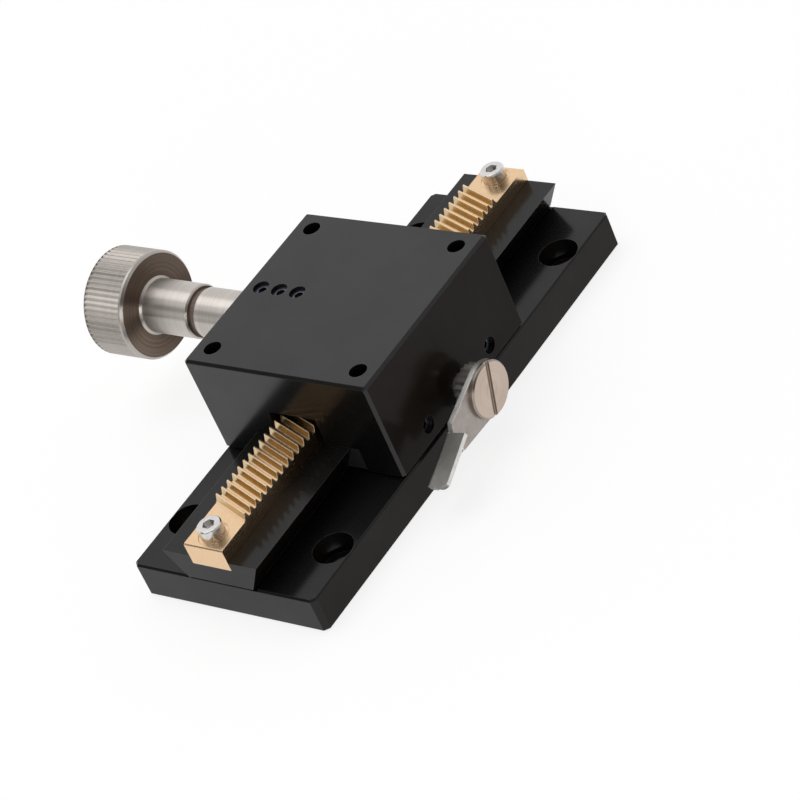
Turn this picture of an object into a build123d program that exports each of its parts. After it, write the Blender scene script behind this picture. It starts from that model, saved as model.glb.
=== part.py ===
from build123d import *
import math
import os

# Dovetail translation stage with rack and pinion drive, in millimetres.
# Origin: centre of the base rail's underside. +Z up, +Y along the travel,
# -X towards the knob, +X towards the clamp lever.

# ---- driving dimensions ----

# base rail
rail_length = 100.0
rail_width = 40.0
plate_thickness = 7.2
dovetail_height = 5.5
dovetail_top_width = 20.6
dovetail_angle = 60.0
rail_corner_chamfer = 0.9
rail_edge_chamfer = 0.35
relief_width = 1.2
relief_depth = 0.4
relief_offset = 0.2
groove_depth = 1.7
mount_side_inset = 4.0
mount_end_inset = 12.0
mount_hole_radius = 2.25
mount_bore_radius = 3.7
mount_bore_depth = 4.4

# rack and pinion
normal_module = 0.5
helix_angle = 19.5283
normal_pressure_angle = 20.0
pinion_teeth = 12
profile_shift = 0.2
dedendum_factor = 1.25
flank_backlash = 0.05
rack_width = 8.4
rack_groove_clearance = 0.05
rack_flat_height = 4.5
rack_pitch_height = 5.3
rack_end_flat = 8.0
rack_end_chamfer = 0.25
pinion_overhang = 0.3
pinion_hub_length = 3.8
pinion_hub_radius = 2.6
flank_points = 3

# rack screws
rack_screw_inset = 3.4
rack_screw_radius = 1.25
rack_screw_head_radius = 2.25
rack_screw_head_height = 2.5
rack_spotface_depth = 0.2
rack_screw_head_chamfer = 0.25
rack_screw_length = 6.0
rack_spotface_radius = 2.75
rack_screw_socket = 2.0
rack_screw_socket_depth = 1.3

# stage block
block_length = 40.0
block_height = 20.0
block_rest_y = -0.6
block_gap = 0.6
block_edge_chamfer = 0.5
block_corner_chamfer = 0.5
slide_clearance = 0.03
gib_top_thickness = 1.85
channel_side_clearance = 1.0
channel_roof_clearance = 0.6
top_hole_inset = 4.0
top_hole_radius = 1.65
top_hole_depth = 10.0

# gib and its screws
gib_wall_clearance = 0.05
gib_end_inset = 0.2
gib_bottom_inset = 0.1
gib_top_inset = 0.15
gib_screw_spacing = 20.4
gib_screw_recess = 1.1
clamp_rise = 3.0

# set screws
set_screw_radius = 1.5
set_screw_socket = 1.5
set_screw_socket_depth = 1.6
thread_clearance = 0.04
thread_end_gap = 0.3
seat_gap = 0.03

# bearing sleeve, bushes and shaft
sleeve_radius = 4.6
sleeve_bore_radius = 3.6
sleeve_reach = 12.4
sleeve_channel_gap = 0.8
sleeve_chamfer = 0.3
sleeve_screw_inset = 3.6
sleeve_screw_pitch = 4.1
sleeve_screw_count = 3
sleeve_screw_recess = 0.7
bush_length = 7.0
bush_inset = 0.4
clip_room = 1.9
shaft_radius = 2.5
journal_radius = 1.7
running_clearance = 0.02
end_bush_radius = 3.0
end_bush_length = 6.0
journal_end_gap = 0.5
clip_thickness = 0.5
clip_outer_radius = 3.3
clip_groove_radius = 2.1
clip_opening_angle = 70.0
pin_radius = 0.6

# knob
knob_radius = 10.0
knob_length = 10.2
knob_hub_radius = 5.0
knob_hub_length = 10.9
knob_hub_chamfer = 0.3
knob_rim_chamfer = 0.45
knob_outer_chamfer = 1.0
knob_root_chamfer = 0.4
knurl_count = 62
knurl_depth = 0.28
knurl_plain_band = 0.9
knob_wall = 3.0
knob_screw_inset = 4.9
knob_screw_recess = 0.6
washer_radius = 4.25
washer_thickness = 1.1
washer_clearance = 0.05

# clamp stud, lever and lever screw
stud_radius = 2.0
plug_length = 2.0
plug_radius = 1.9
serration_start = 1.9
serration_length = 2.6
serration_radius = 4.2
serration_depth = 0.45
serration_count = 20
stud_shoulder_radius = 3.3
stud_shoulder_length = 0.4
lever_sheet = 1.0
lever_bend_round = 0.8
lever_eye_radius = 5.1
lever_spigot_radius = 2.2
lever_arm_top = (-10.7, 1.7)
lever_arm_bottom = (-10.5, -4.55)
lever_fold_start = (-12.1, 0.9)
lever_fold_end = (-20.8, -3.2)
lever_notch_depth = 0.9
lever_notch_width = 0.45
lever_web_depth = 3.0
lever_flange_width = 4.0
lever_flange_skew = 0.5
lever_tip_round = 1.3
lever_screw_head_radius = 5.15
lever_screw_head_height = 0.9
lever_screw_head_chamfer = 0.3
lever_screw_radius = 1.4
lever_screw_length = 3.6
lever_slot_width = 1.1
lever_slot_depth = 0.5
lever_slot_tilt = 17.0
cutter_overrun = 1.0

# ---- derived sizes ----

helix = math.radians(helix_angle)
tooth_pitch = math.pi * normal_module / math.cos(helix)
transverse_pressure = math.atan(math.tan(math.radians(normal_pressure_angle)) / math.cos(helix))
pitch_radius = pinion_teeth * tooth_pitch / (2 * math.pi)
addendum_shift = profile_shift * normal_module
dedendum = dedendum_factor * normal_module

dovetail_top_z = plate_thickness + dovetail_height
flank_slope = 1 / math.tan(math.radians(dovetail_angle))
groove_floor_z = dovetail_top_z - groove_depth
rack_flat_z = groove_floor_z + rack_flat_height
rack_pitch_z = groove_floor_z + rack_pitch_height
rack_crest_z = rack_pitch_z + normal_module
rack_root_z = rack_pitch_z - dedendum
rack_seat_z = rack_flat_z - rack_spotface_depth
rack_head_top_z = rack_seat_z + rack_screw_head_height
shaft_z = rack_pitch_z + pitch_radius + addendum_shift

block_bottom_z = plate_thickness + block_gap
block_top_z = block_bottom_z + block_height
block_half = rail_width / 2
block_roof_z = dovetail_top_z + slide_clearance
channel_half = rack_width / 2 + channel_side_clearance
channel_top_z = max(rack_crest_z, rack_head_top_z) + channel_roof_clearance
gib_wall_x = dovetail_top_width / 2 + gib_top_thickness
gib_face_x = gib_wall_x - gib_wall_clearance
flank_clearance = slide_clearance / math.sin(math.radians(dovetail_angle))
clamp_z = block_bottom_z + clamp_rise

pinion_half = rack_width / 2 + pinion_overhang
end_bush_x = channel_half + seat_gap
journal_end_x = end_bush_x + end_bush_length - journal_end_gap
hub_start_x = -pinion_half - pinion_hub_length
pin_x = hub_start_x + pinion_hub_length / 2
inner_bush_end_x = hub_start_x - clip_room
sleeve_inner_x = -channel_half - sleeve_channel_gap
sleeve_outer_x = -block_half - sleeve_reach
knob_hub_end_x = sleeve_outer_x - washer_thickness - 2 * washer_clearance
knob_face_x = knob_hub_end_x - knob_hub_length
knob_bore_end_x = knob_face_x - knob_length + knob_wall
knob_screw_x = knob_hub_end_x - knob_screw_inset

stud_tip_x = gib_face_x + plug_length + 2 * seat_gap
serration_x = block_half + serration_start
shoulder_x = serration_x + serration_length
lever_inner_x = shoulder_x + stud_shoulder_length
lever_outer_x = lever_inner_x + lever_sheet


# ---- helpers ----

def block_between(x0, x1, y0, y1, z0, z1):
    """A box given by its limits on each axis."""
    return Pos((x0 + x1) / 2, (y0 + y1) / 2, (z0 + z1) / 2) * Box(x1 - x0, y1 - y0, z1 - z0)


def rod_x(x0, x1, radius, y=block_rest_y, z=shaft_z):
    """A cylinder along X."""
    return Pos((x0 + x1) / 2, y, z) * Rot(0, 90, 0) * Cylinder(radius, x1 - x0)


def rod_z(z0, z1, radius, x=0.0, y=0.0):
    """A cylinder along Z."""
    return Pos(x, y, (z0 + z1) / 2) * Cylinder(radius, z1 - z0)


def ring_x(x0, x1, outer, inner, z=shaft_z):
    """A tube along X."""
    return rod_x(x0, x1, outer, z=z) - rod_x(x0, x1, inner, z=z)


def flank_x(z):
    """Half width of the male dovetail at height z."""
    return dovetail_top_width / 2 - (dovetail_top_z - z) * flank_slope


def chamfered_rod(length, radius, chamfer_size):
    """A rod from z = 0 down to -length with its top edge chamfered."""
    rod = Pos(0, 0, -length / 2) * Cylinder(radius, length)
    return chamfer(rod.edges().group_by(Axis.Z)[-1], chamfer_size)


def socket_cut(across_flats, depth):
    """A hexagon socket that opens at z = 0."""
    hexagon = RegularPolygon(across_flats / 2, 6, major_radius=False)
    return Pos(0, 0, -depth) * extrude(hexagon, depth)


def set_screw(length):
    """A headless socket set screw whose driven end is at z = 0, pointing down."""
    body = rod_z(-length, 0, set_screw_radius)
    return body - socket_cut(set_screw_socket, set_screw_socket_depth)


def toothed_prism(radius, depth, count, length):
    """A straight-knurled bar along +Z from z = 0: V grooves cut round a circle."""
    points = []
    for step in range(2 * count):
        angle = math.pi * step / count
        reach = radius - depth * (step % 2)
        points.append((reach * math.cos(angle), reach * math.sin(angle)))
    return extrude(make_face(Polyline(*points, close=True)), length)


def facing_x(part, x, y, z):
    """Turn a part built along +Z so that its +Z points to +X, and place it."""
    return Pos(x, y, z) * Rot(0, 90, 0) * part


def corner_places(spacing_x, spacing_y, y_centre=0.0):
    """The four corners of a rectangular hole pattern."""
    return [(x * spacing_x / 2, y_centre + y * spacing_y / 2) for x in (-1, 1) for y in (-1, 1)]


# ---- base rail, rack and rack screws ----

def rack_screw_places():
    return [side * (rail_length / 2 - rack_screw_inset) for side in (-1, 1)]


def make_base_rail():
    half_length = rail_length / 2
    plate = block_between(-rail_width / 2, rail_width / 2, -half_length, half_length, 0, plate_thickness)
    plate = chamfer(plate.edges().filter_by(Axis.Z), rail_corner_chamfer)
    plate = chamfer(plate.edges().group_by(Axis.Z)[-1] + plate.edges().group_by(Axis.Z)[0], rail_edge_chamfer)
    foot = flank_x(plate_thickness)
    top = dovetail_top_width / 2
    outline = Polyline(
        (-foot, -half_length, plate_thickness), (foot, -half_length, plate_thickness),
        (top, -half_length, dovetail_top_z), (-top, -half_length, dovetail_top_z), close=True)
    rail = plate + extrude(make_face(outline), rail_length, dir=(0, 1, 0))
    rail -= block_between(-rack_width / 2 - rack_groove_clearance, rack_width / 2 + rack_groove_clearance,
                          -half_length, half_length, groove_floor_z, dovetail_top_z)
    for side in (-1, 1):
        centre = side * (foot + relief_offset)
        rail -= block_between(centre - relief_width / 2, centre + relief_width / 2,
                              -half_length, half_length, plate_thickness - relief_depth, plate_thickness)
    for x, y in corner_places(rail_width - 2 * mount_side_inset, rail_length - 2 * mount_end_inset):
        rail -= rod_z(0, plate_thickness, mount_hole_radius, x, y)
        rail -= rod_z(plate_thickness - mount_bore_depth, plate_thickness, mount_bore_radius, x, y)
    for y in rack_screw_places():
        rail -= rod_z(groove_floor_z - rack_screw_length, groove_floor_z,
                      rack_screw_radius + thread_clearance, 0, y)
    return rail


def rack_outline(y_start, tooth_count):
    """Toothed profile of the rack in the YZ plane, from its flat up to the crests."""
    x = -rack_width / 2
    half_root = dedendum * math.tan(transverse_pressure)
    half_tip = normal_module * math.tan(transverse_pressure)
    half_pitch_line = tooth_pitch / 4 - flank_backlash
    points = [(x, y_start - tooth_pitch / 2, rack_flat_z), (x, y_start - tooth_pitch / 2, rack_root_z)]
    for tooth in range(tooth_count):
        centre = y_start + tooth * tooth_pitch
        points += [
            (x, centre - half_pitch_line - half_root, rack_root_z),
            (x, centre - half_pitch_line + half_tip, rack_crest_z),
            (x, centre + half_pitch_line - half_tip, rack_crest_z),
            (x, centre + half_pitch_line + half_root, rack_root_z),
        ]
    y_end = y_start + (tooth_count - 0.5) * tooth_pitch
    points += [(x, y_end, rack_root_z), (x, y_end, rack_flat_z)]
    return make_face(Polyline(*points, close=True))


def make_rack():
    half_length = rail_length / 2
    bar = block_between(-rack_width / 2, rack_width / 2, -half_length, half_length, groove_floor_z, rack_flat_z)
    bar = chamfer(bar.edges().filter_by(Axis.X).group_by(Axis.Z)[-1], rack_end_chamfer)
    # a tooth stands under the pinion's axis, and whole teeth fill the room on each side of it
    toothed_half = half_length - rack_end_flat
    teeth_before = math.floor((toothed_half + block_rest_y) / tooth_pitch - 0.5)
    teeth_after = math.floor((toothed_half - block_rest_y) / tooth_pitch - 0.5)
    first_tooth = block_rest_y - teeth_before * tooth_pitch
    shear = rack_width / 2 * math.tan(helix)
    slant = (math.cos(helix), -math.sin(helix), 0)
    outline = rack_outline(first_tooth + shear, teeth_before + 1 + teeth_after)
    teeth = extrude(outline, rack_width / math.cos(helix), dir=slant)
    rack = bar + teeth
    for y in rack_screw_places():
        rack -= rod_z(groove_floor_z, rack_flat_z, rack_screw_radius + thread_clearance, 0, y)
        rack -= rod_z(rack_seat_z, rack_flat_z, rack_spotface_radius, 0, y)
    return rack


def make_rack_screws():
    screws = []
    for y in rack_screw_places():
        head = chamfered_rod(rack_screw_head_height, rack_screw_head_radius, rack_screw_head_chamfer)
        shank_length = rack_seat_z - groove_floor_z + rack_screw_length - thread_end_gap
        shank = rod_z(-rack_screw_head_height - shank_length, -rack_screw_head_height, rack_screw_radius)
        screw = head + shank - socket_cut(rack_screw_socket, rack_screw_socket_depth)
        screws.append(Pos(0, y, rack_head_top_z) * screw)
    return Compound(children=screws)


# ---- stage block, gib and screws ----

def make_stage_block():
    y0 = block_rest_y - block_length / 2
    y1 = block_rest_y + block_length / 2
    block = block_between(-block_half, block_half, y0, y1, block_bottom_z, block_top_z)
    block = chamfer(block.edges().filter_by(Axis.Z), block_corner_chamfer)
    block = chamfer(block.edges().group_by(Axis.Z)[-1], block_edge_chamfer)
    slot = Polyline(
        (-flank_x(block_bottom_z) - flank_clearance, y0, block_bottom_z), (gib_wall_x, y0, block_bottom_z),
        (gib_wall_x, y0, block_roof_z), (-flank_x(block_roof_z) - flank_clearance, y0, block_roof_z), close=True)
    block -= extrude(make_face(slot), block_length, dir=(0, 1, 0))
    block -= block_between(-channel_half, channel_half, y0, y1, block_roof_z, channel_top_z)
    block -= rod_x(-block_half, end_bush_x, sleeve_radius + running_clearance)
    block -= rod_x(end_bush_x, end_bush_x + end_bush_length, end_bush_radius + running_clearance)
    for x, y in corner_places(2 * (block_half - top_hole_inset), block_length - 2 * top_hole_inset, block_rest_y):
        block -= rod_z(block_top_z - top_hole_depth, block_top_z, top_hole_radius, x, y)
    for x in sleeve_screw_places():
        block -= rod_z(shaft_z, block_top_z, set_screw_radius + thread_clearance, x, block_rest_y)
    for y in gib_screw_places():
        block -= rod_x(gib_wall_x, block_half, set_screw_radius + thread_clearance, y, clamp_z)
    block -= rod_x(gib_wall_x, block_half, stud_radius + thread_clearance, z=clamp_z)
    return block


def sleeve_screw_places():
    first_x = -block_half + sleeve_screw_inset
    return [first_x + step * sleeve_screw_pitch for step in range(sleeve_screw_count)]


def gib_screw_places():
    return [block_rest_y - gib_screw_spacing / 2, block_rest_y + gib_screw_spacing / 2]


def make_gib():
    y0 = block_rest_y - block_length / 2 + gib_end_inset
    bottom = block_bottom_z + gib_bottom_inset
    top = block_roof_z - gib_top_inset
    outline = Polyline(
        (flank_x(bottom) + flank_clearance, y0, bottom), (gib_face_x, y0, bottom),
        (gib_face_x, y0, top), (flank_x(top) + flank_clearance, y0, top), close=True)
    return extrude(make_face(outline), block_length - 2 * gib_end_inset, dir=(0, 1, 0))


def make_gib_screws():
    outer_x = block_half - gib_screw_recess
    length = outer_x - gib_face_x - seat_gap
    screws = [facing_x(set_screw(length), outer_x, y, clamp_z) for y in gib_screw_places()]
    return Compound(children=screws)


def make_sleeve_screws():
    top_z = block_top_z - sleeve_screw_recess
    length = top_z - (shaft_z + sleeve_radius + seat_gap)
    screws = [Pos(x, block_rest_y, top_z) * set_screw(length) for x in sleeve_screw_places()]
    return Compound(children=screws)


# ---- bearing sleeve, bushes, shaft and pinion ----

def make_bearing_sleeve():
    sleeve = rod_x(sleeve_outer_x, sleeve_inner_x, sleeve_radius)
    sleeve = chamfer(sleeve.edges().group_by(Axis.X)[0], sleeve_chamfer)
    return sleeve - rod_x(sleeve_outer_x, sleeve_inner_x, sleeve_bore_radius)


def make_bush(x0, x1, outer, inner):
    return ring_x(x0, x1, outer - running_clearance, inner + running_clearance)


def clip_groove():
    """Start and end of the clip's groove in the shaft, just inside the inner bush."""
    start = inner_bush_end_x + seat_gap
    return start, start + clip_thickness + 2 * seat_gap


def pin_rod(radius):
    """The cross pin's cylinder, through the pinion's hub and the shaft."""
    return rod_z(shaft_z - pinion_hub_radius, shaft_z + pinion_hub_radius, radius, pin_x, block_rest_y)


def make_drive_shaft():
    shaft = rod_x(knob_bore_end_x + seat_gap, hub_start_x - seat_gap, shaft_radius)
    shaft += rod_x(hub_start_x - seat_gap, journal_end_x, journal_radius)
    start, end = clip_groove()
    shaft -= ring_x(start, end, shaft_radius + seat_gap, clip_groove_radius)
    return shaft - pin_rod(pin_radius + seat_gap)


def tooth_half_angle(radius):
    """Half the tooth's angle at a radius, from the involute of the base circle."""
    base_radius = pitch_radius * math.cos(transverse_pressure)
    pressure = math.acos(min(1.0, base_radius / radius))
    involute = math.tan(pressure) - pressure
    pitch_involute = math.tan(transverse_pressure) - transverse_pressure
    thickness = tooth_pitch / 2 + 2 * addendum_shift * math.tan(transverse_pressure) - 2 * flank_backlash
    return thickness / (2 * pitch_radius) + pitch_involute - involute


def pinion_outline():
    """Involute tooth profile in the XY plane, with a tooth space facing -Y."""
    base_radius = pitch_radius * math.cos(transverse_pressure)
    root_radius = pitch_radius + addendum_shift - dedendum
    tip_radius = pitch_radius + addendum_shift + normal_module
    radii = [base_radius + (tip_radius - base_radius) * step / (flank_points - 1) for step in range(flank_points)]
    rising = [(root_radius, tooth_half_angle(base_radius))] + [(r, tooth_half_angle(r)) for r in radii]
    points = []
    for tooth in range(pinion_teeth):
        centre = (tooth + 0.5) * 2 * math.pi / pinion_teeth - math.pi / 2
        for radius, half in rising:
            points.append((radius * math.cos(centre - half), radius * math.sin(centre - half)))
        for radius, half in reversed(rising):
            points.append((radius * math.cos(centre + half), radius * math.sin(centre + half)))
    return make_face(Polyline(*points, close=True))


def make_pinion():
    face_width = 2 * pinion_half
    twist = math.degrees(face_width * math.tan(helix) / pitch_radius)
    teeth = Solid.extrude_linear_with_rotation(
        pinion_outline().face(), center=(0, 0, 0), normal=(0, 0, face_width), angle=twist)
    # the mirror image of the right-handed twist runs with the rack's slant
    teeth = mirror(Rot(0, 0, -twist / 2) * teeth, about=Plane.YZ)
    # local +X and +Y of the profile become the object's +Y and +Z
    upright = Location(Plane(origin=(-pinion_half, block_rest_y, shaft_z), x_dir=(0, 1, 0), z_dir=(1, 0, 0)))
    pinion = upright * teeth + rod_x(hub_start_x, -pinion_half, pinion_hub_radius)
    pinion -= rod_x(hub_start_x, pinion_half, journal_radius + running_clearance)
    return pinion - pin_rod(pin_radius + seat_gap)


def make_pinion_pin():
    return pin_rod(pin_radius)


def make_shaft_clip():
    start, end = clip_groove()
    clip = ring_x(start + seat_gap, end - seat_gap, clip_outer_radius, clip_groove_radius + seat_gap)
    reach = clip_outer_radius + cutter_overrun
    half_width = reach * math.tan(math.radians(clip_opening_angle / 2))
    wedge = Polyline((0, 0), (reach, half_width), (reach, -half_width), close=True)
    opening = extrude(make_face(wedge), clip_thickness, both=True)
    return clip - facing_x(opening, (start + end) / 2, block_rest_y, shaft_z)


# ---- knob ----

def make_knob():
    """The knob turned about X with its flat face at x = 0, then moved to its place."""
    profile = Polyline(
        (-knob_length, 0), (-knob_length, knob_radius), (-knob_rim_chamfer, knob_radius),
        (0, knob_radius - knob_rim_chamfer), (0, knob_hub_radius), (knob_hub_length, knob_hub_radius),
        (knob_hub_length, 0), close=True)
    knob = revolve(make_face(profile), Axis.X)
    knob = chamfer(knob.edges().group_by(Axis.X)[0], knob_outer_chamfer)
    knob = chamfer(knob.edges().group_by(Axis.X)[-1], knob_hub_chamfer)
    root = knob.edges().filter_by_position(Axis.X, -seat_gap, seat_gap).sort_by(SortBy.LENGTH)[0]
    knob = chamfer(root, knob_root_chamfer)
    knurl_start = -knob_length + knob_outer_chamfer
    knurl_length = -knurl_plain_band - knurl_start
    band = Pos(0, 0, knurl_length / 2) * Cylinder(knob_radius + cutter_overrun, knurl_length)
    grooves = band - toothed_prism(knob_radius, knurl_depth, knurl_count, knurl_length)
    knob -= facing_x(grooves, knurl_start, 0, 0)
    knob = Pos(knob_face_x, block_rest_y, shaft_z) * knob
    knob -= rod_x(knob_bore_end_x, knob_hub_end_x, shaft_radius + running_clearance)
    return knob - rod_z(shaft_z - knob_hub_radius, shaft_z, set_screw_radius + thread_clearance,
                        knob_screw_x, block_rest_y)


def make_knob_screw():
    length = knob_hub_radius - shaft_radius - knob_screw_recess - seat_gap
    driven_end_z = shaft_z - knob_hub_radius + knob_screw_recess
    return Pos(knob_screw_x, block_rest_y, driven_end_z) * Rot(180, 0, 0) * set_screw(length)


def make_thrust_washer():
    return ring_x(knob_hub_end_x + washer_clearance, sleeve_outer_x - washer_clearance,
                  washer_radius, shaft_radius + running_clearance)


# ---- clamp stud, plug, lever and lever screw ----

def clamp_rod(x0, x1, radius):
    """A cylinder on the clamp axis."""
    return rod_x(x0, x1, radius, z=clamp_z)


def make_clamp_stud():
    stud = clamp_rod(stud_tip_x, serration_x, stud_radius)
    collar = toothed_prism(serration_radius, serration_depth, serration_count, serration_length)
    stud += facing_x(collar, serration_x, block_rest_y, clamp_z)
    stud += clamp_rod(shoulder_x, lever_inner_x, stud_shoulder_radius)
    stud += clamp_rod(lever_inner_x, lever_outer_x - seat_gap, lever_spigot_radius)
    return stud - clamp_rod(lever_outer_x - lever_screw_length - thread_end_gap, lever_outer_x,
                            lever_screw_radius + thread_clearance)


def make_clamp_plug():
    return clamp_rod(gib_face_x + seat_gap, stud_tip_x - seat_gap, plug_radius)


def make_clamp_lever():
    """Sheet lever: an eye and arm, and a thumb flange bent outwards along the fold line.

    It is drawn about the clamp axis: local x is the object's +Y, y its +Z and z its +X.
    """
    start = Vector(*lever_fold_start)
    tip = Vector(*lever_fold_end)
    along = (tip - start).normalized()
    down = Vector(-along.Y, along.X)
    arm = make_hull(Circle(lever_eye_radius).edges() + [Line(lever_arm_top, lever_arm_bottom).edge()])
    notch_floor = down * lever_notch_depth
    web_floor = down * lever_web_depth
    neck = make_face(Polyline(lever_arm_top, start + notch_floor - along * lever_notch_width,
                              start + notch_floor, start + web_floor, lever_arm_bottom, close=True))
    web = make_face(Polyline(start, tip, tip + web_floor, start + web_floor, close=True))
    web = fillet(web.vertices().sort_by_distance(tip + web_floor)[0], lever_tip_round)
    lever = extrude(arm + neck + web, lever_sheet)
    lever -= Pos(0, 0, lever_sheet / 2) * Cylinder(lever_spigot_radius + seat_gap, lever_sheet)
    length = (tip - start).length
    flange = make_face(Polyline((0, 0), (length, 0), (length, lever_flange_width),
                                (-lever_flange_skew, lever_flange_width), close=True))
    corner = flange.vertices().sort_by_distance((length, lever_flange_width, 0))[0]
    flange = extrude(fillet(corner, lever_tip_round), -lever_sheet)
    lever += Plane(origin=start, x_dir=along, z_dir=-down) * flange
    fold = lever.edges().sort_by_distance((start + tip) / 2)[0]
    lever = fillet(fold, lever_bend_round)
    return Plane(origin=(lever_inner_x, block_rest_y, clamp_z), x_dir=(0, 1, 0), z_dir=(1, 0, 0)) * lever


def make_lever_screw():
    head = chamfered_rod(lever_screw_head_height, lever_screw_head_radius, lever_screw_head_chamfer)
    slot = Box(2 * (lever_screw_head_radius + cutter_overrun), lever_slot_width, 2 * lever_slot_depth)
    head -= Rot(0, 0, -lever_slot_tilt) * slot
    shank = rod_z(-lever_screw_head_height - lever_screw_length, -lever_screw_head_height, lever_screw_radius)
    return facing_x(head + shank, lever_outer_x + lever_screw_head_height, block_rest_y, clamp_z)


def main():
    inner_bush_start_x = inner_bush_end_x - bush_length
    outer_bush_start_x = sleeve_outer_x + bush_inset
    parts = {
        "base_rail": make_base_rail(),
        "rack": make_rack(),
        "rack_screws": make_rack_screws(),
        "stage_block": make_stage_block(),
        "gib": make_gib(),
        "gib_screws": make_gib_screws(),
        "sleeve_screws": make_sleeve_screws(),
        "bearing_sleeve": make_bearing_sleeve(),
        "outer_bush": make_bush(outer_bush_start_x, outer_bush_start_x + bush_length,
                                sleeve_bore_radius, shaft_radius),
        "inner_bush": make_bush(inner_bush_start_x, inner_bush_end_x, sleeve_bore_radius, shaft_radius),
        "end_bush": make_bush(end_bush_x, end_bush_x + end_bush_length, end_bush_radius, journal_radius),
        "thrust_washer": make_thrust_washer(),
        "drive_shaft": make_drive_shaft(),
        "pinion": make_pinion(),
        "pinion_pin": make_pinion_pin(),
        "shaft_clip": make_shaft_clip(),
        "knob": make_knob(),
        "knob_screw": make_knob_screw(),
        "clamp_stud": make_clamp_stud(),
        "clamp_plug": make_clamp_plug(),
        "clamp_lever": make_clamp_lever(),
        "lever_screw": make_lever_screw(),
    }
    os.makedirs("parts", exist_ok=True)
    for name, part in parts.items():
        export_step(part, f"parts/{name}.step")
    print("pinion pitch radius", round(pitch_radius, 5), "shaft height", round(shaft_z, 4))
    print("travel per turn", round(2 * math.pi * pitch_radius, 4))


main()
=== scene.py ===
import math
import bpy
from mathutils import Matrix, Vector


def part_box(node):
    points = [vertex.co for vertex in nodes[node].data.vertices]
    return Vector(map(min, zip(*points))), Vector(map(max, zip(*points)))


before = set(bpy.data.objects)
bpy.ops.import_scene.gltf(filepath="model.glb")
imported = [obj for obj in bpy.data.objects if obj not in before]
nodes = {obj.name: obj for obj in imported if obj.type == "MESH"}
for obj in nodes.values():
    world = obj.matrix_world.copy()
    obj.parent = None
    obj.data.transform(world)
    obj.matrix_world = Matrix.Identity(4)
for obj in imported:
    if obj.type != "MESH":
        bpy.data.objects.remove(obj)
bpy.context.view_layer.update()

mm = 0.001
black = (0.0, 0.0, 0.0)
white = (1.0, 1.0, 1.0)

view = {
    "azimuth": 48.452,      # degrees round from the -Y side towards +X
    "elevation": 36.264,
    "roll": -24.632,
    "distance": 568.4,      # mm from the point looked at
    "lookAt": (5.99, -1.99, 6.09),
    "lens": 147.23,
    "sensor": 36.0,
}


def newMaterial(name):
    material = bpy.data.materials.new(name)
    material.use_nodes = True
    tree = material.node_tree
    shader = tree.nodes["Principled BSDF"]
    return material, tree, shader


def addNode(tree, kind, **values):
    node = tree.nodes.new(kind)
    for name, value in values.items():
        setattr(node, name, value)
    return node


def link(tree, source, target):
    tree.links.new(source, target)


def newGroup(name, inputs, outputs):
    group = bpy.data.node_groups.new(name, "ShaderNodeTree")
    for label, kind, default in inputs:
        socket = group.interface.new_socket(name=label, in_out="INPUT", socket_type=kind)
        if default is not None:
            socket.default_value = default
    for label, kind in outputs:
        group.interface.new_socket(name=label, in_out="OUTPUT", socket_type=kind)
    return group, group.nodes.new("NodeGroupInput"), group.nodes.new("NodeGroupOutput")


def useGroup(tree, group, **values):
    node = tree.nodes.new("ShaderNodeGroup")
    node.node_tree = group
    for label, value in values.items():
        node.inputs[label].default_value = value
    return node


def setColour(socket, colour):
    socket.default_value = (*colour, 1.0)


# edge wear: where the rounded normal leaves the true one
def buildEdgeWear():
    group, entry, out = newGroup(
        "Edge wear",
        [("Width", "NodeSocketFloat", 0.3 * mm), ("Strength", "NodeSocketFloat", 6.0),
         ("Breakup", "NodeSocketFloat", 900.0)],
        [("Mask", "NodeSocketFloat"), ("Normal", "NodeSocketVector")])
    bevel = addNode(group, "ShaderNodeBevel", samples=6)
    link(group, entry.outputs["Width"], bevel.inputs["Radius"])
    geometry = addNode(group, "ShaderNodeNewGeometry")
    dot = addNode(group, "ShaderNodeVectorMath", operation="DOT_PRODUCT")
    link(group, bevel.outputs[0], dot.inputs[0])
    link(group, geometry.outputs["Normal"], dot.inputs[1])
    lost = addNode(group, "ShaderNodeMath", operation="SUBTRACT")
    lost.inputs[0].default_value = 1.0
    link(group, dot.outputs["Value"], lost.inputs[1])
    scaled = addNode(group, "ShaderNodeMath", operation="MULTIPLY")
    link(group, lost.outputs[0], scaled.inputs[0])
    link(group, entry.outputs["Strength"], scaled.inputs[1])
    coords = addNode(group, "ShaderNodeTexCoord")
    noise = addNode(group, "ShaderNodeTexNoise")
    noise.inputs["Detail"].default_value = 3.0
    link(group, coords.outputs["Object"], noise.inputs["Vector"])
    link(group, entry.outputs["Breakup"], noise.inputs["Scale"])
    worn = addNode(group, "ShaderNodeMath", operation="MULTIPLY", use_clamp=True)
    link(group, scaled.outputs[0], worn.inputs[0])
    link(group, noise.outputs["Fac"], worn.inputs[1])
    link(group, worn.outputs[0], out.inputs["Mask"])
    link(group, bevel.outputs[0], out.inputs["Normal"])
    return group


# fine lines along one axis of the object: grain of a milled or ground face
def buildGrain():
    group, entry, out = newGroup(
        "Cut grain",
        [("Stretch", "NodeSocketVector", (1.0, 1.0, 1.0)), ("Scale", "NodeSocketFloat", 1500.0)],
        [("Value", "NodeSocketFloat")])
    coords = addNode(group, "ShaderNodeTexCoord")
    stretch = addNode(group, "ShaderNodeVectorMath", operation="MULTIPLY")
    link(group, coords.outputs["Object"], stretch.inputs[0])
    link(group, entry.outputs["Stretch"], stretch.inputs[1])
    noise = addNode(group, "ShaderNodeTexNoise")
    noise.inputs["Detail"].default_value = 5.0
    noise.inputs["Roughness"].default_value = 0.65
    link(group, stretch.outputs[0], noise.inputs["Vector"])
    link(group, entry.outputs["Scale"], noise.inputs["Scale"])
    link(group, noise.outputs["Fac"], out.inputs["Value"])
    return group


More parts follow.
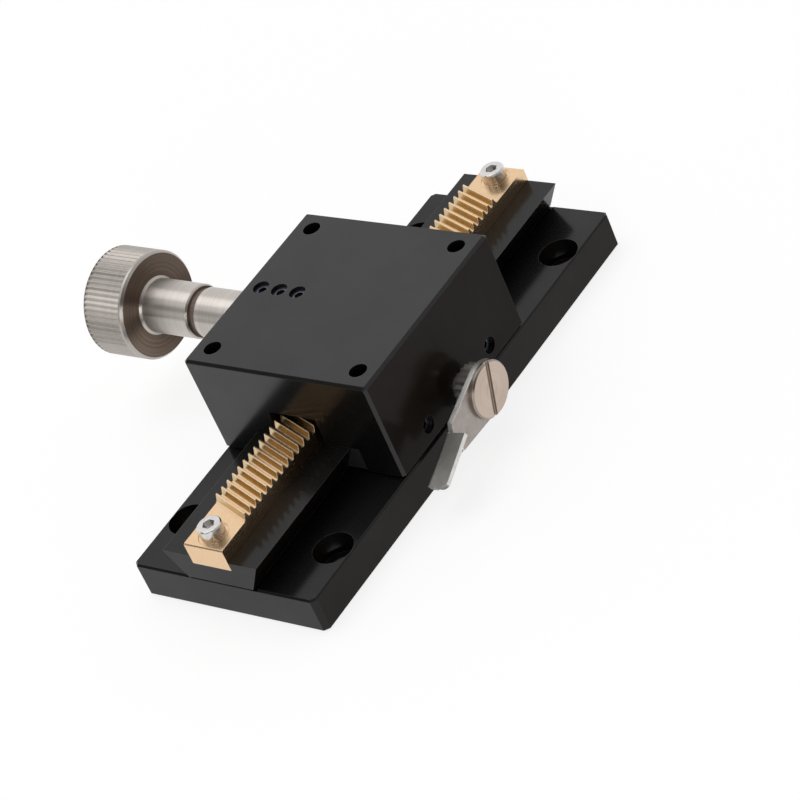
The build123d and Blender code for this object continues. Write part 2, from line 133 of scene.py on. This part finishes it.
# fine grooves round an axis along X, on the faces across it too, and the distance from that axis
def buildTurnedGrain():
    group, entry, out = newGroup(
        "Turned grain",
        [("Centre", "NodeSocketVector", (0.0, 0.0, 0.0)), ("Scale", "NodeSocketFloat", 2500.0)],
        [("Value", "NodeSocketFloat"), ("Radius", "NodeSocketFloat")])
    coords = addNode(group, "ShaderNodeTexCoord")
    offset = addNode(group, "ShaderNodeVectorMath", operation="SUBTRACT")
    link(group, coords.outputs["Object"], offset.inputs[0])
    link(group, entry.outputs["Centre"], offset.inputs[1])
    flat = addNode(group, "ShaderNodeVectorMath", operation="MULTIPLY")
    flat.inputs[1].default_value = (0.0, 1.0, 1.0)
    link(group, offset.outputs[0], flat.inputs[0])
    radius = addNode(group, "ShaderNodeVectorMath", operation="LENGTH")
    link(group, flat.outputs[0], radius.inputs[0])
    parts = addNode(group, "ShaderNodeSeparateXYZ")
    link(group, offset.outputs[0], parts.inputs[0])
    groove = addNode(group, "ShaderNodeCombineXYZ")
    link(group, parts.outputs["X"], groove.inputs["X"])
    link(group, radius.outputs["Value"], groove.inputs["Y"])
    noise = addNode(group, "ShaderNodeTexNoise")
    noise.inputs["Detail"].default_value = 4.0
    noise.inputs["Roughness"].default_value = 0.7
    link(group, groove.outputs[0], noise.inputs["Vector"])
    link(group, entry.outputs["Scale"], noise.inputs["Scale"])
    link(group, noise.outputs["Fac"], out.inputs["Value"])
    link(group, radius.outputs["Value"], out.inputs["Radius"])
    return group


edgeWear = buildEdgeWear()
cutGrain = buildGrain()
turnedGrain = buildTurnedGrain()
evenGrain = (1.0, 1.0, 1.0)
print("shader groups built")


def mixColour(tree, factor, first, second):
    mix = addNode(tree, "ShaderNodeMix", data_type="RGBA")
    link(tree, factor, mix.inputs["Factor"])
    for socket, value in ((mix.inputs["A"], first), (mix.inputs["B"], second)):
        if isinstance(value, tuple):
            setColour(socket, value)
        else:
            link(tree, value, socket)
    return mix.outputs["Result"]


def mapRange(tree, value, low, high, toLow, toHigh):
    node = addNode(tree, "ShaderNodeMapRange")
    link(tree, value, node.inputs["Value"])
    for label, number in (("From Min", low), ("From Max", high), ("To Min", toLow), ("To Max", toHigh)):
        node.inputs[label].default_value = number
    return node.outputs["Result"]


# how far a surface faces along one axis, from 0 at low to 1 at high
def facingMask(tree, axis, low, high):
    geometry = addNode(tree, "ShaderNodeNewGeometry")
    parts = addNode(tree, "ShaderNodeSeparateXYZ")
    link(tree, geometry.outputs["Normal"], parts.inputs[0])
    size = addNode(tree, "ShaderNodeMath", operation="ABSOLUTE")
    link(tree, parts.outputs[axis], size.inputs[0])
    return mapRange(tree, size.outputs[0], low, high, 0.0, 1.0)


anodised = {
    "colour": (0.0042, 0.0038, 0.0038),
    # painted reflection: the faces along X get a browner colour than the rest, in place of a dark brown
    # reflection
    "sideReflectionColour": (0.0095, 0.0055, 0.0038),
    "dustColour": (0.014, 0.013, 0.012),
    "dustAmount": 0.3,
    "edgeColour": (0.10, 0.095, 0.09),
    "edgeWidth": 0.25 * mm,
    "edgeStrength": 4.0,
    "specular": 0.05,
    "roughness": 0.6,
    "coatRoughness": 0.17,
    "coatRefraction": 1.5,
    "grainScale": 2600.0,
    "grainDepth": 0.05,
    "patchScale": 60.0,
    "blockCoat": 0.84,      # gloss of the ends and the top
    "blockSideCoat": 0.16,  # gloss of the two sides that face along X
    "railCoat": 0.58,
    "railSideCoat": 0.30,
}


def anodisedMaterial(name, coat, sideCoat):
    material, tree, shader = newMaterial(name)
    shader.inputs["Specular IOR Level"].default_value = anodised["specular"]
    shader.inputs["Coat Roughness"].default_value = anodised["coatRoughness"]
    shader.inputs["Coat IOR"].default_value = anodised["coatRefraction"]
    grain = useGroup(tree, cutGrain, Stretch=evenGrain, Scale=anodised["grainScale"])
    patches = useGroup(tree, cutGrain, Stretch=evenGrain, Scale=anodised["patchScale"])
    wear = useGroup(tree, edgeWear, Width=anodised["edgeWidth"], Strength=anodised["edgeStrength"])
    # painted reflection: the faces along X are tinted brown with the side colour
    sideways = facingMask(tree, "X", 0.75, 0.98)
    base = mixColour(tree, sideways, anodised["colour"], anodised["sideReflectionColour"])
    dust = mapRange(tree, grain.outputs["Value"], 0.5, 0.9, 0.0, anodised["dustAmount"])
    base = mixColour(tree, dust, base, anodised["dustColour"])
    base = mixColour(tree, wear.outputs["Mask"], base, anodised["edgeColour"])
    link(tree, base, shader.inputs["Base Color"])
    rough = anodised["roughness"]
    link(tree, mapRange(tree, patches.outputs["Value"], 0.3, 0.7, rough * 0.9, rough * 1.15),
         shader.inputs["Roughness"])
    gloss = addNode(tree, "ShaderNodeMath", operation="MULTIPLY")
    link(tree, mapRange(tree, patches.outputs["Value"], 0.3, 0.7, 1.0, 0.9), gloss.inputs[0])
    link(tree, mapRange(tree, sideways, 0.0, 1.0, coat, sideCoat), gloss.inputs[1])
    link(tree, gloss.outputs[0], shader.inputs["Coat Weight"])
    addBump(tree, shader, grain, wear, anodised["grainDepth"])
    return material


def addBump(tree, shader, grain, wear, strength):
    bump = addNode(tree, "ShaderNodeBump")
    bump.inputs["Strength"].default_value = strength
    bump.inputs["Distance"].default_value = 0.02 * mm
    link(tree, grain.outputs["Value"], bump.inputs["Height"])
    link(tree, wear.outputs["Normal"], bump.inputs["Normal"])
    link(tree, bump.outputs["Normal"], shader.inputs["Normal"])


# bare metal with cut marks, or with grooves round the axis of a turned node
def startMetal(name, look, turnedNode=None):
    material, tree, shader = newMaterial(name)
    shader.inputs["Metallic"].default_value = 1.0
    if turnedNode:
        low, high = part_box(turnedNode)
        centre = (Vector(low) + Vector(high)) / 2
        grain = useGroup(tree, turnedGrain, Centre=centre, Scale=look["grainScale"])
        # the grooves run round the axis, so the gloss spreads across them
        shader.inputs["Anisotropic"].default_value = look["grooveGloss"]
        shader.inputs["Anisotropic Rotation"].default_value = 0.25
        tangent = addNode(tree, "ShaderNodeTangent", direction_type="RADIAL", axis="X")
        link(tree, tangent.outputs["Tangent"], shader.inputs["Tangent"])
    else:
        grain = useGroup(tree, cutGrain, Stretch=look["grainStretch"], Scale=look["grainScale"])
    return material, tree, shader, grain


metalEdges = {
    "width": 0.15 * mm,
    "strength": 5.0,
    "grainDepth": 0.15,
}


# colour and roughness, varied by the grain and worn at the edges
def finishMetal(tree, shader, grain, look, colour, rough):
    wear = useGroup(tree, edgeWear, Width=metalEdges["width"], Strength=metalEdges["strength"])
    tinted = addNode(tree, "ShaderNodeMix", data_type="RGBA", blend_type="MULTIPLY")
    link(tree, mapRange(tree, grain.outputs["Value"], 0.3, 0.7, 1.0, 0.0), tinted.inputs["Factor"])
    link(tree, colour, tinted.inputs["A"])
    setColour(tinted.inputs["B"], look["grainTint"])
    link(tree, mixColour(tree, wear.outputs["Mask"], tinted.outputs["Result"], look["edgeColour"]),
         shader.inputs["Base Color"])
    uneven = addNode(tree, "ShaderNodeMath", operation="MULTIPLY")
    link(tree, mapRange(tree, grain.outputs["Value"], 0.25, 0.75, 1.25, 0.8), uneven.inputs[0])
    link(tree, rough, uneven.inputs[1])
    link(tree, uneven.outputs[0], shader.inputs["Roughness"])
    addBump(tree, shader, grain, wear, metalEdges["grainDepth"])


# faces across the X axis have a colour and a roughness of their own, and a knurl is coloured darker than
# the hub; the knob's dark face colour and the lever screw's darker body are painted shade
def facedMetal(name, look, turnedNode=None):
    material, tree, shader, grain = startMetal(name, look, turnedNode)
    face = facingMask(tree, "X", 0.80, 0.95)
    body = look["colour"]
    if "knurlColour" in look:
        inside = look["knurlRadius"]
        knurl = mapRange(tree, grain.outputs["Radius"], inside, inside + 0.1 * mm, 0.0, 1.0)
        body = mixColour(tree, knurl, look["colour"], look["knurlColour"])
    finishMetal(tree, shader, grain, look, mixColour(tree, face, body, look["faceColour"]),
                mapRange(tree, face, 0.0, 1.0, look["roughness"], look["faceRoughness"]))
    return material


brass = {
    "colour": (0.84, 0.61, 0.395),
    "flankShadeColour": (0.68, 0.53, 0.32),  # painted shade: the teeth's flanks are coloured darker than what is milled flat
    "grainTint": (0.90, 0.84, 0.74),
    "edgeColour": (0.95, 0.80, 0.58),
    "roughness": 0.24,
    "flankRoughness": 0.288,
    "grainStretch": (6.0, 1.0, 1.0),
    "grainScale": 700.0,
}


# a flank is neither upright nor level, and gets the darker flank colour as painted shade
def brassMaterial():
    material, tree, shader, grain = startMetal("Rack brass", brass)
    flank = mixColour(tree, facingMask(tree, "Z", 0.12, 0.24), black, white)
    flank = mixColour(tree, facingMask(tree, "Z", 0.45, 0.60), flank, black)
    finishMetal(tree, shader, grain, brass, mixColour(tree, flank, brass["colour"], brass["flankShadeColour"]),
                mapRange(tree, flank, 0.0, 1.0, brass["roughness"], brass["flankRoughness"]))
    return material


turnedSteel = {
    "colour": (0.62, 0.58, 0.54),
    "knurlColour": (0.50, 0.465, 0.43),
    "knurlRadius": 7.0 * mm,    # the knurl lies outside it, the hub inside
    # painted shade: the knob's faces across X are coloured dark brown
    "faceColour": (0.28, 0.215, 0.17),
    "grainTint": (0.88, 0.86, 0.85),
    "edgeColour": (0.78, 0.75, 0.72),
    "roughness": 0.32,
    "faceRoughness": 0.55,
    "grainScale": 2500.0,
    "grooveGloss": 0.95,
}
warmNickel = {
    # painted shade: the head's side and slot get a darker colour than its face
    "colour": (0.34, 0.29, 0.25),
    "faceColour": (0.58, 0.475, 0.40),
    "grainTint": (0.90, 0.89, 0.88),
    "edgeColour": (0.82, 0.76, 0.70),
    "roughness": 0.32,
    "faceRoughness": 0.36,
    "grainScale": 2500.0,
    "grooveGloss": 0.6,
}

leverSheet = {
    "armColour": (0.41, 0.365, 0.335),
    # painted shade: the bent-out flange gets a darker colour than the arm of the same sheet
    "flangeShadeColour": (0.24, 0.235, 0.22),
    "cutEdgeAndHighlight": (0.80, 0.78, 0.75),   # the sheet's bare cut edges and the flange's outer lip, coloured bright, partly as a painted highlight
    "thickness": 1.0 * mm,
    "flangeWidth": 4.0 * mm,
    "foldStart": -12.7 * mm,    # the flange lies beyond it along Y
    "grainTint": (0.86, 0.86, 0.86),
    "edgeColour": (0.80, 0.78, 0.75),
    "roughness": 0.42,
    "flangeRoughness": 0.50,
    "grainStretch": evenGrain,
    "grainScale": 500.0,
}


# the arm, the flange that is bent out of it, coloured darker as painted shade, and the sheet's cut edges,
# coloured bright partly as a painted highlight
def leverMaterial():
    material, tree, shader, grain = startMetal("Plated sheet", leverSheet)
    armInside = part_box("clamp_lever")[0][0]
    armOutside = armInside + leverSheet["thickness"]
    tip = armInside + leverSheet["flangeWidth"]
    coords = addNode(tree, "ShaderNodeTexCoord")
    parts = addNode(tree, "ShaderNodeSeparateXYZ")
    link(tree, coords.outputs["Object"], parts.inputs[0])
    bentOut = mapRange(tree, parts.outputs["X"], armOutside, armOutside + 0.1 * mm, 0.0, 1.0)
    fold = leverSheet["foldStart"]
    pastFold = mapRange(tree, parts.outputs["Y"], fold - 0.1 * mm, fold, 1.0, 0.0)
    flange = addNode(tree, "ShaderNodeMath", operation="MAXIMUM")
    link(tree, bentOut, flange.inputs[0])
    link(tree, pastFold, flange.inputs[1])
    lip = mapRange(tree, parts.outputs["X"], tip - 0.12 * mm, tip - 0.04 * mm, 0.0, 1.0)
    # painted shade on the flange, and a painted highlight on the cut edges and the flange's lip
    side = mixColour(tree, flange.outputs[0], leverSheet["cutEdgeAndHighlight"], leverSheet["flangeShadeColour"])
    face = mixColour(tree, lip, leverSheet["armColour"], leverSheet["cutEdgeAndHighlight"])
    facing = facingMask(tree, "X", 0.80, 0.95)
    armRough, flangeRough = leverSheet["roughness"], leverSheet["flangeRoughness"]
    finishMetal(tree, shader, grain, leverSheet, mixColour(tree, facing, side, face),
                mapRange(tree, flange.outputs[0], 0.0, 1.0, armRough, flangeRough))
    return material


brightScrew = {
    "colour": (0.74, 0.73, 0.72),
    "faceColour": (0.70, 0.69, 0.68),
    "grainTint": (0.82, 0.81, 0.80),
    "edgeColour": (0.90, 0.89, 0.88),
    "roughness": 0.20,
    "faceRoughness": 0.26,
    "grainStretch": evenGrain,
    "grainScale": 900.0,
}
platedStud = {
    "colour": (0.60, 0.58, 0.55),
    "faceColour": (0.60, 0.58, 0.55),
    "grainTint": (0.80, 0.79, 0.78),
    "edgeColour": (0.95, 0.93, 0.90),
    "roughness": 0.40,
    "faceRoughness": 0.45,
    "grainStretch": evenGrain,
    "grainScale": 500.0,
}
innerSteel = {
    "colour": (0.70, 0.69, 0.67),
    "faceColour": (0.66, 0.65, 0.63),
    "grainTint": (0.83, 0.83, 0.85),
    "edgeColour": (0.80, 0.79, 0.77),
    "roughness": 0.25,
    "faceRoughness": 0.32,
    "grainStretch": evenGrain,
    "grainScale": 600.0,
}
bushBronze = {
    "colour": (0.56, 0.38, 0.20),
    "faceColour": (0.50, 0.34, 0.18),
    "grainTint": (0.78, 0.76, 0.70),
    "edgeColour": (0.70, 0.50, 0.30),
    "roughness": 0.45,
    "faceRoughness": 0.50,
    "grainStretch": evenGrain,
    "grainScale": 900.0,
}
setScrew = {
    "colour": (0.17, 0.18, 0.22),
    "faceColour": (0.20, 0.21, 0.26),
    "grainTint": (0.70, 0.70, 0.74),
    "edgeColour": (0.40, 0.41, 0.46),
    "roughness": 0.35,
    "faceRoughness": 0.40,
    "grainStretch": evenGrain,
    "grainScale": 900.0,
}


plainLook = {
    "grainScale": 1800.0,
    "edgeWidth": 0.1 * mm,
    "edgeStrength": 3.0,
    "lighter": 2.2,
    "worn": 5.0,
}
washerNylon = {
    "colour": (0.125, 0.092, 0.072),
    "roughness": 0.35,
}
gibSteel = {
    "colour": (0.02, 0.02, 0.02),
    "roughness": 0.4,
}


def plainMaterial(name, colour, roughness):
    material, tree, shader = newMaterial(name)
    grain = useGroup(tree, cutGrain, Stretch=evenGrain, Scale=plainLook["grainScale"])
    wear = useGroup(tree, edgeWear, Width=plainLook["edgeWidth"], Strength=plainLook["edgeStrength"])
    lighter = tuple(min(1.0, part * plainLook["lighter"]) for part in colour)
    worn = tuple(min(1.0, part * plainLook["worn"]) for part in colour)
    base = mixColour(tree, mapRange(tree, grain.outputs["Value"], 0.3, 0.8, 0.0, 0.5), colour, lighter)
    base = mixColour(tree, wear.outputs["Mask"], base, worn)
    link(tree, base, shader.inputs["Base Color"])
    link(tree, mapRange(tree, grain.outputs["Value"], 0.3, 0.7, roughness * 0.85, roughness * 1.15),
         shader.inputs["Roughness"])
    link(tree, wear.outputs["Normal"], shader.inputs["Normal"])
    return material


turned = facedMetal("Turned steel", turnedSteel, "knob")
bronze = facedMetal("Sintered bronze", bushBronze)
inner = facedMetal("Inner steel", innerSteel)
blackened = facedMetal("Blackened screw", setScrew)
materials = {
    "stage_block": anodisedMaterial("Anodised block", anodised["blockCoat"], anodised["blockSideCoat"]),
    "base_rail": anodisedMaterial("Anodised rail", anodised["railCoat"], anodised["railSideCoat"]),
    "rack": brassMaterial(),
    "rack_screws": facedMetal("Bright screw", brightScrew),
    "knob": turned,
    "bearing_sleeve": turned,
    "clamp_lever": leverMaterial(),
    "clamp_stud": facedMetal("Plated stud", platedStud),
    "lever_screw": facedMetal("Warm nickel", warmNickel, "lever_screw"),
    "outer_bush": bronze,
    "inner_bush": bronze,
    "end_bush": bronze,
    "clamp_plug": bronze,
    "gib_screws": blackened,
    "sleeve_screws": blackened,
    "knob_screw": blackened,
    "thrust_washer": plainMaterial("Nylon washer", **washerNylon),
    "gib": plainMaterial("Blackened gib", **gibSteel),
}
for name, node in nodes.items():
    node.data.materials.clear()
    node.data.materials.append(materials.get(name, inner))
print("materials given to", len(nodes), "nodes")


# what the camera sees by itself, in a reflection or through glass
def seenRays(tree):
    path = addNode(tree, "ShaderNodeLightPath")
    direct = addNode(tree, "ShaderNodeMath", operation="MAXIMUM")
    link(tree, path.outputs["Is Camera Ray"], direct.inputs[0])
    link(tree, path.outputs["Is Glossy Ray"], direct.inputs[1])
    seen = addNode(tree, "ShaderNodeMath", operation="MAXIMUM")
    link(tree, direct.outputs[0], seen.inputs[0])
    link(tree, path.outputs["Is Transmission Ray"], seen.inputs[1])
    return path, seen.outputs[0]


floorLook = {
    "size": 6.0,
    "colour": (0.90, 0.90, 0.90),
    "seenColour": (0.26, 0.26, 0.26),   # the part of the seen floor that takes shadows
    "glow": 0.81,                       # the rest of it
    "roughness": 0.9,
}


def makeFloor():
    half = floorLook["size"] / 2
    mesh = bpy.data.meshes.new("floor")
    corners = [(-half, -half, 0), (half, -half, 0), (half, half, 0), (-half, half, 0)]
    mesh.from_pydata(corners, [], [(0, 1, 2, 3)])
    floor = bpy.data.objects.new("floor", mesh)
    bpy.context.scene.collection.objects.link(floor)
    material, tree, shader = newMaterial("Pale floor")
    shader.inputs["Roughness"].default_value = floorLook["roughness"]
    shader.inputs["Specular IOR Level"].default_value = 0.0
    shader.inputs["Emission Strength"].default_value = floorLook["glow"]
    _, seen = seenRays(tree)
    colour = mixColour(tree, seen, floorLook["colour"], floorLook["seenColour"])
    link(tree, colour, shader.inputs["Base Color"])
    link(tree, mixColour(tree, seen, black, white), shader.inputs["Emission Color"])
    mesh.materials.append(material)


sky = {
    "bright": white,
    "dark": (0.10, 0.085, 0.075),
    "toward": (-0.70, 0.42, 0.58),          # the side that the light sky is on
    "darkFrom": -0.35,                      # cosines of the angles from that side
    "brightFrom": 0.45,
    "gapToward": (-0.603, -0.635, 0.483),   # the dark gap between the light sky and the floor
    "gapOuter": 0.968,
    "gapInner": 0.994,
    "fill": 0.70,                           # what matt surfaces get from the sky
}


# how near a direction in the sky is to another, from 0 at low to 1 at high
def skyMask(tree, coords, direction, low, high):
    near = addNode(tree, "ShaderNodeVectorMath", operation="DOT_PRODUCT")
    link(tree, coords.outputs["Generated"], near.inputs[0])
    near.inputs[1].default_value = Vector(direction).normalized()
    return mapRange(tree, near.outputs["Value"], low, high, 0.0, 1.0)


# white where it is looked at, and lighter on one side for what the object mirrors
def makeSky():
    world = bpy.data.worlds.new("Studio")
    bpy.context.scene.world = world
    world.use_nodes = True
    tree = world.node_tree
    background = tree.nodes["Background"]
    coords = addNode(tree, "ShaderNodeTexCoord")
    path, seen = seenRays(tree)
    light = skyMask(tree, coords, sky["toward"], sky["darkFrom"], sky["brightFrom"])
    shade = mixColour(tree, light, sky["dark"], sky["bright"])
    gap = skyMask(tree, coords, sky["gapToward"], sky["gapOuter"], sky["gapInner"])
    shade = mixColour(tree, gap, shade, sky["dark"])
    colour = mixColour(tree, path.outputs["Is Camera Ray"], shade, sky["bright"])
    link(tree, colour, background.inputs["Color"])
    link(tree, mapRange(tree, seen, 0.0, 1.0, sky["fill"], 1.0), background.inputs["Strength"])


lamps = {
    "key": {"power": 2.2, "size": 0.8, "place": (-0.28, 0.0, 1.05)},
    "fill": {"power": 2.0, "size": 0.5, "place": (0.60, -0.85, 0.28)},
}


def makeLamp(name, power, size, place):
    lamp = bpy.data.lights.new(name, "AREA")
    lamp.shape = "DISK"
    lamp.size = size
    lamp.energy = power
    holder = bpy.data.objects.new(name, lamp)
    bpy.context.scene.collection.objects.link(holder)
    holder.location = Vector(place)
    holder.rotation_euler = Vector(place).to_track_quat("Z", "Y").to_euler()


def makeCamera():
    azimuth, elevation, roll = (math.radians(view[k]) for k in ("azimuth", "elevation", "roll"))
    back = Vector((math.sin(azimuth) * math.cos(elevation), -math.cos(azimuth) * math.cos(elevation),
                   math.sin(elevation)))
    level = Vector((math.cos(azimuth), math.sin(azimuth), 0))
    up = back.cross(level)
    right = level * math.cos(roll) + up * math.sin(roll)
    place = Vector(view["lookAt"]) * mm + back * view["distance"] * mm
    camera = bpy.data.cameras.new("camera")
    camera.lens = view["lens"]
    camera.sensor_width = view["sensor"]
    camera.sensor_fit = "HORIZONTAL"
    camera.clip_start = 0.01
    holder = bpy.data.objects.new("camera", camera)
    bpy.context.scene.collection.objects.link(holder)
    frameOfView = Matrix((right, back.cross(right), back)).transposed().to_4x4()
    frameOfView.translation = place
    holder.matrix_world = frameOfView
    bpy.context.scene.camera = holder


makeFloor()
makeSky()
for lampName, lampLook in lamps.items():
    makeLamp(lampName, **lampLook)
makeCamera()
bpy.context.scene.view_settings.view_transform = "Standard"
print("studio and camera ready")
